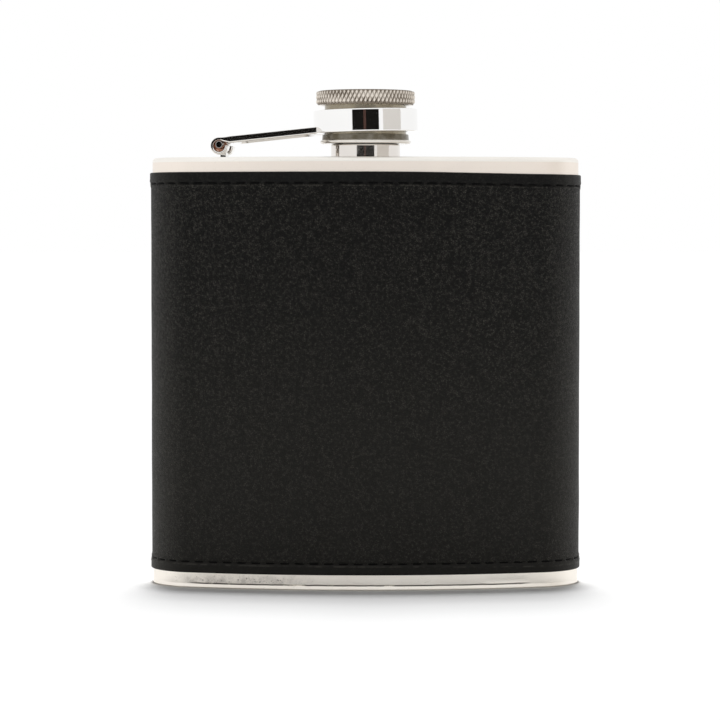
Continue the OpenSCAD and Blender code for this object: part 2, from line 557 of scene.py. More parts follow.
class Shader(Tree):
    """A material's node tree, built from named parts."""

    def __init__(self, name: str) -> None:
        """Starts a material with a Principled shader.

        Args:
            name: Name of the material.
        """
        self.material = bpy.data.materials.new(name)
        self.material.use_nodes = True
        super().__init__(self.material.node_tree)
        self.surface = self.tree.nodes["Principled BSDF"]
        where = self.node("ShaderNodeTexCoord")
        self.where = where.outputs["Object"]
        split = self.node("ShaderNodeSeparateXYZ", {}, {0: self.where})
        self.x, self.y, self.z = (Value(self, s) for s in split.outputs)
        split = self.node("ShaderNodeSeparateXYZ", {}, {0: where.outputs["Normal"]})
        self.facing_up = abs(Value(self, split.outputs[2])).step(0.5, 0.8)

    def vector(self, x: Value | float, y: Value | float, z: Value | float) -> bpy.types.NodeSocket:
        """A vector of three values."""
        return self.node("ShaderNodeCombineXYZ", {}, {0: x, 1: y, 2: z}).outputs[0]

    def noise(self, scale: float, detail: float = 3, rough: float = 0.5,
              at: bpy.types.NodeSocket | None = None, warp: float = 0) -> Value:
        """Soft noise between 0 and 1.

        Args:
            scale: Waves in a metre, or in a unit of the place given.
            detail: How many finer layers it has.
            rough: Strength of the finer layers.
            at: The place that it is read at, if not the piece's own.
            warp: How much it is distorted.

        Returns:
            The noise.
        """
        node = self.node("ShaderNodeTexNoise", {}, {
            "Vector": at or self.where, "Scale": scale, "Detail": detail, "Roughness": rough,
            "Distortion": warp})
        return Value(self, node.outputs["Fac"])

    def cells(self, scale: float, feature: str = "F1", at: bpy.types.NodeSocket | None = None) -> Value:
        """Distance to the nearest of many scattered points, or to the edge between two of them.

        Args:
            scale: Points in a metre.
            feature: Which of the two distances it is.
            at: The place that it is read at, if not the piece's own.

        Returns:
            The distance.
        """
        node = self.node("ShaderNodeTexVoronoi", {"feature": feature},
                         {"Vector": at or self.where, "Scale": scale})
        return Value(self, node.outputs["Distance"])

    def blend(self, factor: Value, low: "Colour | bpy.types.NodeSocket",
              high: "Colour | bpy.types.NodeSocket") -> bpy.types.NodeSocket:
        """A colour between two others.

        Args:
            factor: How far it is from the low one to the high one.
            low: The colour at 0.
            high: The colour at 1.

        Returns:
            The colour.
        """
        node = self.node("ShaderNodeMix", {"data_type": "RGBA"}, {0: factor, 6: low, 7: high})
        return node.outputs[2]

    def raised(self, height: Value, depth: float, strength: float = 1) -> bpy.types.NodeSocket:
        """A surface raised by a height pattern.

        Args:
            height: Pattern between 0 and 1.
            depth: Height of the pattern, in metres.
            strength: How much of it shows.

        Returns:
            The normal.
        """
        node = self.node("ShaderNodeBump", {}, {"Height": height, "Distance": depth, "Strength": strength})
        return node.outputs["Normal"]

    def finish(self, **sockets: "Value | bpy.types.NodeSocket | float | Colour") -> bpy.types.Material:
        """Finishes the material.

        Args:
            **sockets: What the Principled shader's sockets get, named with underscores for spaces.

        Returns:
            The material.
        """
        for key, given in sockets.items():
            self.feed(self.surface.inputs[key.replace("_", " ")], given)
        return self.material


@dataclass
class Look:
    """What a finish has come to so far: its colour, its roughness and its raised pattern."""

    colour: bpy.types.NodeSocket
    rough: Value
    height: Value


@dataclass(frozen=True)
class Metal:
    """A worked metal with polishing lines, smudges, stains, a few scratches and painted shade in its hollows.

    Attributes:
        name: Name of the material.
        tint: Its colour where it is brightest.
        shade: Its colour where it is dullest.
        rough: Its middle roughness.
        lines: How much the polishing lines change the roughness.
        brush: Which way the lines run.
        line_depth: Depth of the lines, in metres.
        smudge: How much the smudges change the roughness.
        scratch: How strong the scratches are.
        worn: Whether it is stained and pitted at the foot of the body, and painted lighter there than above.
        upper: Colour above the foot, darker than the foot's: painted light and shade, the foot painted
            lighter and the metal above it darker.
        axis_y: Where the cap's axis is, in metres.
        arm_turn: Angle of the arm.
        grooves: Radii between which the painted shade in the hollows fades out, in metres.
        hollow_shade_colour: Colour of that painted shade.
        axle: Place of the axle that the grooves go round, along the arm and up, in metres.
    """

    name: str
    tint: Colour
    shade: Colour
    rough: float
    lines: float
    brush: Brush
    line_depth: float = 2e-6
    smudge: float = 0.1
    scratch: float = 0.0
    worn: bool = False
    upper: Colour = (0.87, 0.795, 0.72)
    axis_y: float = 0.0
    arm_turn: float = 0.0
    grooves: tuple[float, float] | None = None
    hollow_shade_colour: Colour = (0.10, 0.085, 0.065)
    axle: tuple[float, float] | None = None

    def along_arm(self, s: Shader) -> tuple[Value, Value]:
        """Distances along and across the arm from the cap's axis.

        Args:
            s: The shader that they are for.

        Returns:
            The two distances.
        """
        c, d = math.cos(self.arm_turn), math.sin(self.arm_turn)
        y = s.y - self.axis_y
        return s.x * c - y * d, s.x * d + y * c

    def radius(self, s: Shader) -> Value:
        """Distance from the axle, if there is one, or else from the cap's axis.

        Args:
            s: The shader that it is for.

        Returns:
            The distance.
        """
        if self.axle:
            u, v = self.along_arm(s)[0] - self.axle[0], s.z - self.axle[1]
        else:
            u, v = s.x, s.y - self.axis_y
        return (u * u + v * v) ** 0.5

    def lay(self, s: Shader) -> bpy.types.NodeSocket:
        """Coordinates stretched along the polishing lines.

        Args:
            s: The shader that they are for.

        Returns:
            The stretched place, in which lines are about a unit apart.
        """
        fine = 9000.0
        if self.brush is Brush.ROUND_CAP:
            y = s.y - self.axis_y
            return s.vector(y.angle(s.x) * 3, (s.x * s.x + y * y) ** 0.5 * fine, s.z * fine)
        if self.brush is Brush.ALONG_ARM:
            along, across = self.along_arm(s)
            return s.vector(along * 120, across * fine, s.z * fine)
        flat = s.facing_up * fine
        return s.vector(s.x * 70, s.y * (flat + 70), s.z * (fine - flat))

    def painted_hollow_shade(self, s: Shader, look: Look) -> None:
        """Paints shade into the hollows: darkens them towards the shade colour and makes them rougher.

        Args:
            s: The shader.
            look: What the finish has come to.
        """
        # painted shade: inside the grooves' radii the colour is darkened towards the shade colour
        painted_hollow_shade = (1 - self.radius(s).step(*self.grooves)) * (0.75 + 0.4 * s.noise(700, 4, 0.6))
        if not self.axle:
            painted_hollow_shade = painted_hollow_shade * (1 - s.facing_up)
        look.colour = s.blend(painted_hollow_shade, look.colour, self.hollow_shade_colour)
        look.rough = look.rough + painted_hollow_shade * 0.16

    def hairlines(self, s: Shader, look: Look) -> None:
        """Adds a few fine scratches.

        Args:
            s: The shader.
            look: What the finish has come to.
        """
        lay = s.vector(s.x * 90 + s.z * 200, s.y * 90, s.z * 1400 - s.x * 420)
        where = s.noise(170, 2).step(0.5, 0.65)
        mark = (1 - abs(s.noise(1, 1, 0.5, lay) - 0.5).step(0.0, 0.008)) * where * self.scratch
        look.rough = look.rough + mark * 0.25
        look.height = look.height - mark * 1.5
        look.colour = s.blend(mark * 0.35, look.colour, (0.16, 0.14, 0.12))

    def wear_and_painted_foot_light(self, s: Shader, look: Look) -> None:
        """Dulls and pits the foot of the body, darkens the weld line, and paints the foot lighter than the
        metal above it, as painted light.

        Args:
            s: The shader.
            look: What the finish has come to.
        """
        # painted light: the foot is painted lighter than the metal above it, which takes the darker upper
        # colour
        colour = s.blend(s.z.step(0.02, 0.08), look.colour, self.upper)
        # the patch by the hinge's end, from the weld line up
        patch = (1 - s.x.step(-0.02, -0.008)) * s.x.step(-0.045, -0.036) * s.z.step(0.0009, 0.0011)
        patch = patch * (1 - s.z.step(0.0018, 0.0036))
        spots = s.noise(2600, 2, 0.5, warp=0.5).step(0.6, 0.7) * s.noise(600, 3).step(0.4, 0.6)
        pit = spots * (0.06 + patch * 0.94)
        dull = patch * s.noise(420, 4, 0.7).step(0.35, 0.65)
        colour = s.blend(dull * 0.5, colour, (0.36, 0.33, 0.3))
        colour = s.blend(pit * 0.85, colour, (0.1, 0.085, 0.07))
        line = (1 - abs(s.z - 0.00102).step(0.00007, 0.0002)) * s.x.step(-0.039, -0.036)
        line = line * (1 - s.x.step(0.033, 0.0362)) * s.noise(260, 3).step(0.3, 0.42)
        look.colour = s.blend(line * 0.8, colour, (0.07, 0.06, 0.05))
        look.rough = look.rough + pit * 0.3 + dull * 0.12
        look.height = look.height - pit * 6

    def material(self) -> bpy.types.Material:
        """Builds the material.

        Returns:
            The material.
        """
        s = Shader(self.name)
        grain = s.noise(1, 4, 0.6, self.lay(s))
        cloud = s.noise(160, 5, 0.55, warp=0.4)
        colour = s.blend(s.noise(45, 3, 0.5).step(0.3, 0.75), self.shade, self.tint)
        rough = self.rough + self.lines * (grain - 0.5) + self.smudge * (cloud.step(0.5, 0.8) - 0.3)
        look = Look(colour, rough, grain)
        if self.grooves:
            self.painted_hollow_shade(s, look)
        if self.scratch:
            self.hairlines(s, look)
        if self.worn:
            self.wear_and_painted_foot_light(s, look)
        return s.finish(Base_Color=look.colour, Metallic=1.0, Roughness=look.rough.larger(0.02),
                        Normal=s.raised(look.height, self.line_depth))


@dataclass(frozen=True)
class Leather:
    """Black split leather: fine pebble grain, wrinkles at the bends, smooth hems and creased stitch lines,
    with painted highlights on the grain's peaks, at the round ends and below each stitch line, and lighter
    towards the bottom.
    """

    low_row: float
    high_row: float
    sag: float
    name: str = "black leather"
    dark: Colour = (0.0012, 0.0012, 0.0011)
    light: Colour = (0.0620, 0.0585, 0.0500)
    rough: float = 0.46
    relief: float = 3.2e-4

    def material(self) -> bpy.types.Material:
        """Builds the material.

        Returns:
            The material.
        """
        s = Shader(self.name)
        up = s.z + s.x.step(0.002, 0.046) * self.sag
        body = (up - self.low_row).step(-0.0002, 0.0006) * (1 - (up - self.high_row).step(-0.0006, 0.0002))
        drift = s.noise(700, 2, 0.5)
        bent = s.node("ShaderNodeVectorMath", {"operation": "ADD"}, {
            0: s.where, 1: s.vector(drift * 0.0006, drift * 0.0006, (1 - drift) * 0.0006)}).outputs[0]
        pebble = s.cells(2700, "DISTANCE_TO_EDGE", bent).step(0.0, 0.28)
        crease = s.noise(1500, 3, 0.6, bent, 0.3)
        wrinkle = s.noise(420, 4, 0.6, s.vector(s.x, s.y, s.z * 1.7), 0.8)
        bend = abs(s.x).step(0.038, 0.045)
        fold = s.noise(1, 3, 0.6, s.vector(s.x * 260, s.y * 260, s.z * 2300), 0.5)
        pores = (1 - s.cells(5200).step(0.05, 0.3)) * s.noise(900, 2).step(0.45, 0.65)
        patch = s.noise(75, 4, 0.6)
        grain = pebble * 0.5 + crease * 0.6 + wrinkle * 0.35 - pores * 0.2 + bend * fold * 0.5
        upper = s.z.step(0.02, 0.085)
        middle = 1 - abs(s.x + 0.004).step(0.004, 0.032)
        behind = s.y.step(0.002, 0.009)
        # the strength scales the grain's bump and its painted highlight, both stronger in the upper part
        strength = (0.3 + upper * 0.6 + patch * 0.4 - middle * upper * 0.3) * (0.2 + body * 0.8)
        strength = strength * (1 - behind * 0.5)
        # the peaks of the grain: smoother, and painted lighter as a painted highlight
        grain_peaks = (crease * 0.85 + wrinkle * 0.15 + bend * (fold - 0.5) * 0.25).step(0.42, 0.63) * pebble
        # painted highlight: the grain's peaks lighter, stronger in the upper part, a painted glow at the
        # round ends, and the leather lighter towards the bottom
        painted_sheen = grain_peaks * strength * 1.15 + (1 - upper) * 0.2 + bend * 0.18
        # painted highlight on the pulled-up slope just below each stitch line
        low, high = (1 - abs(up - (row - 0.00052)).step(0.00008, 0.00026)
                     for row in (self.low_row, self.high_row))
        painted_row_highlight = (low + high) * s.noise(520, 3).step(0.4, 0.6)
        colour = s.blend(painted_sheen + painted_row_highlight * 0.4 + patch * 0.05, self.dark, self.light)
        rough = self.rough + (1 - grain_peaks) * 0.1 + (patch - 0.5) * 0.12
        return s.finish(Base_Color=colour, Roughness=rough, Specular_IOR_Level=0.12, Sheen_Weight=0.05,
                        Sheen_Roughness=0.35, Normal=s.raised(grain * strength, self.relief))


@dataclass(frozen=True)
class Thread:
    """Black twisted polyester."""

    name: str = "black thread"
    dark: Colour = (0.0008, 0.0008, 0.0008)
    light: Colour = (0.005, 0.005, 0.005)

    def material(self) -> bpy.types.Material:
        """Builds the material.

        Returns:
            The material.
        """
        s = Shader(self.name)
        fibre = s.noise(1, 3, 0.6, s.vector(s.x * 9000, s.y * 9000, s.z * 15000))
        worn = s.noise(900, 3)
        return s.finish(Base_Color=s.blend(fibre * worn, self.dark, self.light), Specular_IOR_Level=0.08,
                        Roughness=0.6 + fibre * 0.2, Normal=s.raised(fibre, 2e-5))


@dataclass(frozen=True)
class Plastic:
    """A pale sealing plastic with moulded haze and a ring pressed by the mouth."""

    name: str = "white seal"
    light: Colour = (0.83, 0.82, 0.78)
    dark: Colour = (0.68, 0.66, 0.6)
    axis_y: float = 0.0

    def material(self) -> bpy.types.Material:
        """Builds the material.

        Returns:
            The material.
        """
        s = Shader(self.name)
        y = s.y - self.axis_y
        radius = (s.x * s.x + y * y) ** 0.5
        pressed = 1 - abs(radius - 0.0059).step(0.0002, 0.0006)
        haze = s.noise(900, 4, 0.6)
        return s.finish(Base_Color=s.blend(haze * 0.5 + pressed * 0.4, self.light, self.dark),
                        Roughness=0.42 + haze * 0.15, Normal=s.raised(haze - pressed, 3e-5),
                        Subsurface_Weight=0.05)


# --------------------------------------------------------------------------- pieces


@dataclass(frozen=True)
class Piece:
    """A visible piece: its name, what it moves with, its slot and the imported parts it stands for."""

    name: str
    body: Body
    slot: Slot
    stands_for: tuple[str, ...]
    sharp: float = 38.0

    def make(self, solid: Solid, material: bpy.types.Material,
             turned: Matrix | None = None) -> bpy.types.Object:
        """Makes the piece.

        Args:
            solid: Its shape.
            material: Its finish.
            turned: A placing that is worked into its points, if any.

        Returns:
            The object.
        """
        mesh = solid.mesh(self.name, self.sharp)
        if turned is not None:
            mesh.transform(turned)
        mesh.materials.append(material)
        piece = bpy.data.objects.new(self.name, mesh)
        bpy.context.scene.collection.objects.link(piece)
        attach(piece, self.body.value)
        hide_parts(*self.stands_for)
        log.info("%s: %d points on %s", self.name, len(mesh.vertices), self.body.value)
        return piece


def dress(node: str, material: bpy.types.Material, bevel: float) -> None:
    """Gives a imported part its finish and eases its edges.

    Args:
        node: Name of the part.
        material: Its finish.
        bevel: Width of the eased edges, in metres.
    """
    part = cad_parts[node]
    part.data.materials.clear()
    part.data.materials.append(material)
    weld = part.modifiers.new("joined points", "WELD")
    weld.merge_threshold = 2e-6
    ease = part.modifiers.new("eased edges", "BEVEL")
    ease.width, ease.segments, ease.limit_method = bevel, 3, "ANGLE"
    ease.angle_limit = math.radians(32)
    ease.harden_normals = True
    log.info("%s: kept from the packed model", node)


@dataclass
class EndPlate:
    """The plate at the bottom or at the top of the body, with a polished round outer edge."""

    plan: Plan
    piece: Piece
    edge_z: float
    joint_z: float
    edge_r: float
    joint_gap: float = 0.1
    lap: float = 0.6
    hole_r: float = 0.0
    hole_steps: int = 160
    flare: float = 0.0
    gap: "WeldLine | None" = None

    def build(self, material: bpy.types.Material) -> bpy.types.Object:
        """Builds the plate.

        Args:
            material: Its finish.

        Returns:
            The object.
        """
        up = 1 if self.edge_z > self.joint_z else -1
        around = self.plan.stations()
        # the edge, from the flat of the plate round to the joint with the shell
        turn = np.radians(np.linspace(90, 0, 9))
        side = np.array([0.08, 0.1, 0.82, 0.84, 1])
        low, high = self.edge_z - up * self.edge_r, self.joint_z + up * self.joint_gap
        out = np.concatenate([self.flare + self.edge_r * (np.cos(turn) - 1), self.flare * (1 - side),
                              [0, -self.lap]])
        height = np.concatenate([self.edge_z - up * self.edge_r * (1 - np.sin(turn)),
                                 low + (high - low) * side, [self.joint_z, self.joint_z]])
        cut = self.gap.depth(self.plan, around) if self.gap else np.zeros(len(around))
        out = np.tile(out, (len(around), 1))
        out[:, -2] -= cut
        solid = Solid()
        index = solid.skin(self.plan.place(around[:, None], out, height[None]), True, False)
        if self.hole_r:
            angle = np.arange(self.hole_steps) * TURN / self.hole_steps
            x, y = self.hole_r * np.cos(angle), self.plan.cap_y + self.hole_r * np.sin(angle)
            wall = np.stack([np.stack([x, y, np.full_like(x, z)], -1) for z in (self.edge_z, self.joint_z)])
            hole = solid.skin(wall, False, True)
            solid.fill(index[:, 0], hole[0])
            solid.fill(index[:, -1], hole[1])
        else:
            solid.faces += [tuple(index[:, 0].tolist()), tuple(index[:, -1].tolist())]
        return self.piece.make(solid, material)


@dataclass(frozen=True)
class WeldLine:
    """The fine line between the shell and the base plate, ground away at both ends of the body."""

    seed: int = 5
    deep: float = 0.16
    left: float = -38.5
    right: float = 35.7

    def depth(self, plan: Plan, around: np.ndarray) -> np.ndarray:
        """Depth of the line at distances round the outline.

        Args:
            plan: The body's plan.
            around: Distances from the middle of the back.

        Returns:
            The depth at each.
        """
        x = plan.place(around, 0, 0)[:, 0]
        run = smooth(x, self.left, self.left + 3) * (1 - smooth(x, self.right - 2, self.right))
        uneven = 0.8 + Ripple(self.seed, height=0.25, longest=9, shortest=1.6)(around, np.zeros_like(around))
        return self.deep * run * np.clip(uneven, 0.35, 1.1)


@dataclass
class SteelBody:
    """The welded steel body: a rolled shell between a base plate and a shoulder plate."""

    plan: Plan
    height: float = 93.0
    plate_t: float = 1.0
    wall_t: float = 0.5
    edge_r: float = 0.8
    foot_r: float = 0.25
    flare: float = 0.13
    collar_r: float = 7.5
    satin: Metal = Metal("satin steel", (0.925, 0.895, 0.845), (0.875, 0.845, 0.795),
                         rough=0.48, lines=0.14, brush=Brush.ROUND_BODY, scratch=0.35)
    # its bright tint is painted light at the foot; above the foot it takes the darker upper colour
    worn: Metal = Metal("worn satin steel painted lighter at the foot", (0.99, 0.945, 0.87), (0.92, 0.865, 0.79),
                        rough=0.42, lines=0.16, brush=Brush.ROUND_BODY, scratch=0.6, worn=True)

    def build(self) -> None:
        """Builds the plates and the shell."""
        weld = WeldLine()
        worn, satin = self.worn.material(), self.satin.material()
        EndPlate(self.plan, Piece("base_plate_steel", Body.FLASK, Slot.SATIN, ("base_plate",)),
                 0, self.plate_t, self.foot_r, flare=self.flare, gap=weld).build(worn)
        EndPlate(self.plan, Piece("shoulder_plate_steel", Body.FLASK, Slot.SATIN, ("shoulder_plate",)),
                 self.height, self.height - self.plate_t, self.edge_r, hole_r=self.collar_r).build(satin)
        self.shell(weld, worn)

    def shell(self, weld: WeldLine, material: bpy.types.Material) -> None:
        """Builds the rolled shell.

        Args:
            weld: The line at its foot.
            material: Its finish.
        """
        low, high = self.plate_t, self.height - self.plate_t
        around = self.plan.stations()
        rise = np.array([0, 0.14, 0.3, 0.6, 1.2, 2.0, 4, 20, 45, 70, 86, 89, high - low])
        cut = weld.depth(self.plan, around)
        x = self.plan.place(around, 0, 0)[:, 0]
        second = 0.07 * smooth(x, 25, 27) * (1 - smooth(x, 34, 36))
        out = np.zeros((len(around), len(rise)))
        out[:, 0] -= cut
        out[:, 3] -= second
        inner = np.linspace(high - low, 0, 8)
        out = np.hstack([out, np.full((len(around), len(inner)), -self.wall_t)])
        height = low + np.concatenate([rise, inner])[None]
        solid = Solid()
        solid.skin(self.plan.place(around[:, None], out, height), True, True)
        Piece("rolled_shell", Body.FLASK, Slot.SATIN, ("body_shell",)).make(solid, material)


@dataclass
class Wrap:
    """The leather sheet round the body, with hems turned under, and its sewing."""

    plan: Plan
    low: float = 3.3
    high: float = 89.8
    thick: float = 0.35
    hem_t: float = 0.55
    hem_h: float = 2.4
    gap: float = 0.05
    seam_row: float = 2.2
    thread_r: float = 0.2
    stitches: int = 68
    stitch_l: float = 2.3
    sag: float = 0.5
    thread: Thread = Thread()

    @property
    def rows(self) -> tuple[float, float]:
        """Heights of the two rows of stitches round the body."""
        return self.low + self.hem_h, self.high - self.hem_h

    @property
    def row_places(self) -> np.ndarray:
        """Where the stitches round the body have their middles."""
        return (np.arange(self.stitches) + 0.5) * self.plan.length() / self.stitches

    @property
    def seam_places(self) -> np.ndarray:
        """Heights of the middles of the stitches beside the seam."""
        first, last = self.low + self.hem_h + 2.2, self.high - self.hem_h - 2.2
        return np.linspace(first, last, 25)

    def drop(self, along: np.ndarray, up: np.ndarray) -> np.ndarray:
        """How much lower the top edge runs towards the +X end.

        Args:
            along: Distance round the outline.
            up: Height.

        Returns:
            The lowering at each place.
        """
        x = self.plan.place(along, 0, up)[..., 0]
        return self.sag * smooth(x, 2, 46) * smooth(up, self.high - 25, self.high - 3)

    def thickness(self, along: np.ndarray, up: np.ndarray) -> np.ndarray:
        """Outer face of the leather at a place on the wall.

        Args:
            along: Distance round the outline.
            up: Height.

        Returns:
            The distance outside the steel.
        """
        length = self.plan.length()
        total = self.thick + Ripple(seed=11, height=0.028, longest=34, shortest=7)(along, up)
        for row, side in zip(self.rows, (1, -1)):
            past = side * (up - row)
            total = total + (self.hem_t - self.thick) * (1 - smooth(past, 0.15, 0.8))
            pitch = length / self.stitches
            between = (along / pitch) % 1
            between = np.minimum(between, 1 - between) * pitch
            sunk = smooth(between, 0.15, 0.6)
            total = total - (0.05 + 0.25 * sunk) * bell(past, 0.3) + 0.06 * bell(past + 0.62, 0.22)
            total = total + 0.05 * sunk * bell(past - 0.62, 0.25)
        edge = np.minimum(along, length - along)
        inside = smooth(up, self.rows[0] + 0.8, self.rows[0] + 1.6) * \
            (1 - smooth(up, self.rows[1] - 1.6, self.rows[1] - 0.8))
        total = total - 0.1 * bell(edge - self.seam_row, 0.28) * inside
        return total

    def across(self) -> np.ndarray:
        """Distances round the outline at which the sheet's section is drawn, closer at the seam.

        Returns:
            The distances in order.
        """
        length = self.plan.length()
        near = self.gap / 2 + np.array([0, 0.06, 0.14, 0.25, 0.4, 0.6, 0.85, 1.1, 1.35, 1.55, 1.7, 1.85,
                                        2.0, 2.15, 2.3, 2.5, 2.7, 2.9, 3.2])
        far = length - near[::-1]
        middle = np.linspace(near[-1], far[0], 640)[1:-1]
        return np.concatenate([near, middle, far])

    def build(self) -> None:
        """Builds the sheet and its three sets of stitches."""
        material = self.thread.material()
        top = self.row_stitches("top_stitches", "top_stitching", self.rows[1], 21, material)
        bottom = self.row_stitches("bottom_stitches", "bottom_stitching", self.rows[0], 22, material)
        back = self.seam_stitches(material)
        sheet = self.sheet()
        flat = (self.plan.length(self.thick / 2) * MM, (self.high - self.low + 2 * self.hem_h) * MM)

    def sheet(self) -> bpy.types.Object:
        """Builds the sheet as one closed skin.

        Returns:
            The object.
        """
        around = self.across()
        fold = self.hem_t / 2
        hem = np.linspace(fold, self.hem_h - 0.7, 5)
        sewn = np.arange(self.hem_h - 0.6, self.hem_h + 1.3, 0.1)
        up = np.concatenate([self.low + hem, self.low + sewn,
                             np.arange(self.low + self.hem_h + 1.6, self.high - self.hem_h - 1.5, 0.9),
                             self.high - sewn[::-1], self.high - hem[::-1]])
        face = self.thickness(around[:, None], up[None])
        bend = np.radians(np.linspace(90, -90, 7))[1:-1]
        top = np.stack([0.5 + 0.5 * np.sin(bend), self.high - fold + fold * np.cos(bend)])
        inner = np.linspace(self.high - fold, self.low + fold, 12)
        bottom = np.stack([0.5 - 0.5 * np.sin(bend), self.low + fold - fold * np.cos(bend)])
        inside = 0.01
        section = np.concatenate([up, top[1], inner, bottom[1]])
        out = np.hstack([face, inside + (face[:, -1:] - inside) * top[0],
                         np.full((len(around), len(inner)), inside),
                         inside + (face[:, :1] - inside) * bottom[0]])
        # the cut ends beside the seam are eased
        edge = np.minimum(around - self.gap / 2, self.plan.length() - self.gap / 2 - around)
        ease = 0.7 + 0.3 * np.sqrt(1 - (1 - np.clip(edge / 0.3, 0, 1)) ** 2)
        out = inside + (out - inside) * ease[:, None]
        lowered = self.drop(around[:, None], section[None])
        solid = Solid()
        solid.skin(self.plan.place(around[:, None], out, section[None] - lowered), False, True, ends=True)
        return Piece("leather_sheet", Body.FLASK, Slot.LEATHER, ("leather_wrap",), 60).make(
            solid, Leather(self.rows[0] * MM, self.rows[1] * MM, self.sag * MM).material())

    def twist(self, random: np.random.Generator) -> tuple[np.ndarray, np.ndarray, np.ndarray, np.ndarray]:
        """Shapes one twisted stitch.

        Args:
            random: Where its small unevenness comes from.

        Returns:
            How far along it each section is, how high above the ends, and the section's two distances.
        """
        t = np.linspace(-1, 1, 15)[:, None]
        angle = np.arange(12)[None] * TURN / 12
        ply = 0.84 + 0.16 * np.abs(np.cos(1.5 * (angle - 5.2 * t - random.uniform(0, 2))))
        radius = self.thread_r * ply * np.sqrt(np.clip(1 - 0.55 * t ** 8, 0, 1))
        rise = (1 - t ** 4) ** 0.7
        return t, rise, radius * np.cos(angle), radius * np.sin(angle)

    def row_stitches(self, name: str, node: str, height: float, seed: int,
                     material: bpy.types.Material) -> bpy.types.Object:
        """Sews one row round the body.

        Args:
            name: Name of the piece.
            node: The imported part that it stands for.
            height: Height of the row.
            seed: Seed of its small unevenness.
            material: The thread.

        Returns:
            The object.
        """
        random = np.random.default_rng(seed)
        solid = Solid()
        for middle in self.row_places:
            t, rise, outward, upward = self.twist(random)
            along = middle + t * self.stitch_l * random.uniform(0.96, 1.04) / 2
            out = -0.02 + 0.28 * rise + outward
            slant = random.uniform(-0.05, 0.09)
            up = height + slant * t + random.uniform(-0.03, 0.03) + upward
            along = np.broadcast_to(along, up.shape)
            solid.skin(self.plan.place(along, out, up - self.drop(along, up)), False, True, ends=True)
        return Piece(name, Body.FLASK, Slot.THREAD, (node,), 70).make(solid, material)

    def seam_stitches(self, material: bpy.types.Material) -> bpy.types.Object:
        """Sews the two upright rows beside the seam.

        Args:
            material: The thread.

        Returns:
            The object.
        """
        random = np.random.default_rng(23)
        solid = Solid()
        for row in (self.seam_row, self.plan.length() - self.seam_row):
            for middle in self.seam_places:
                t, rise, outward, sideways = self.twist(random)
                up = np.broadcast_to(middle + t * self.stitch_l / 2, sideways.shape)
                along = row + random.uniform(-0.04, 0.04) + sideways
                solid.skin(self.plan.place(along, 0.08 + 0.24 * rise + outward, up), False, True, ends=True)
        return Piece("seam_stitches", Body.FLASK, Slot.THREAD, ("back_stitching",), 70).make(solid, material)


@dataclass
class Neck:
    """The spout, with its plain collar and its screw thread."""

    plan: Plan
    shoulder: float = 93.0
    low: float = 91.2
    plate_low: float = 92.0
    flange_r: float = 8.6
    collar_r: float = 7.5
    collar_h: float = 2.85
    root_r: float = 6.5
    crest_r: float = 7.0
    bore_r: float = 5.6
    mouth: float = 101.4
    lip_r: float = 0.35
    steel: Metal = Metal("turned steel", (0.86, 0.83, 0.79), (0.74, 0.70, 0.66),
                         rough=0.1, lines=0.06, brush=Brush.ROUND_CAP, line_depth=8e-7, smudge=0.08,
                         axis_y=CAP_Y)

    def build(self) -> None:
        """Builds the neck."""
        top = self.shoulder + self.collar_h
        threaded = np.arange(top + 0.15, self.mouth - self.lip_r - 0.05, 0.085)
        lip = self.root_r - self.lip_r
        profile = [(self.bore_r, self.low), (self.flange_r, self.low), (self.flange_r, self.plate_low),
                   (self.collar_r, self.plate_low), (self.collar_r, self.shoulder + 0.05)]
        profile += arc((self.collar_r - 0.3, top - 0.3), 0.3, 0, 90)
        profile += [(self.root_r + 0.12, top), (self.root_r, top + 0.1)]
        profile += [(self.root_r, z) for z in threaded]
        profile += arc((lip, self.mouth - self.lip_r), self.lip_r, 0, 90)
        profile += arc((self.bore_r + 0.2, self.mouth - 0.2), 0.2, 90, 180, 5)
        profile += [(self.bore_r, z) for z in np.linspace(self.mouth - 1, self.low + 1, 6)]
        cut = ScrewThread(low=97.35, pitch=PITCH, turns=2.6, depth=self.crest_r - self.root_r,
                          at_radius=self.root_r)
        solid = Solid()
        solid.turned(profile, 240, (0, self.plan.cap_y), cut, closed=True)
        Piece("threaded_neck", Body.FLASK, Slot.POLISHED, ("neck",)).make(solid, self.steel.material())


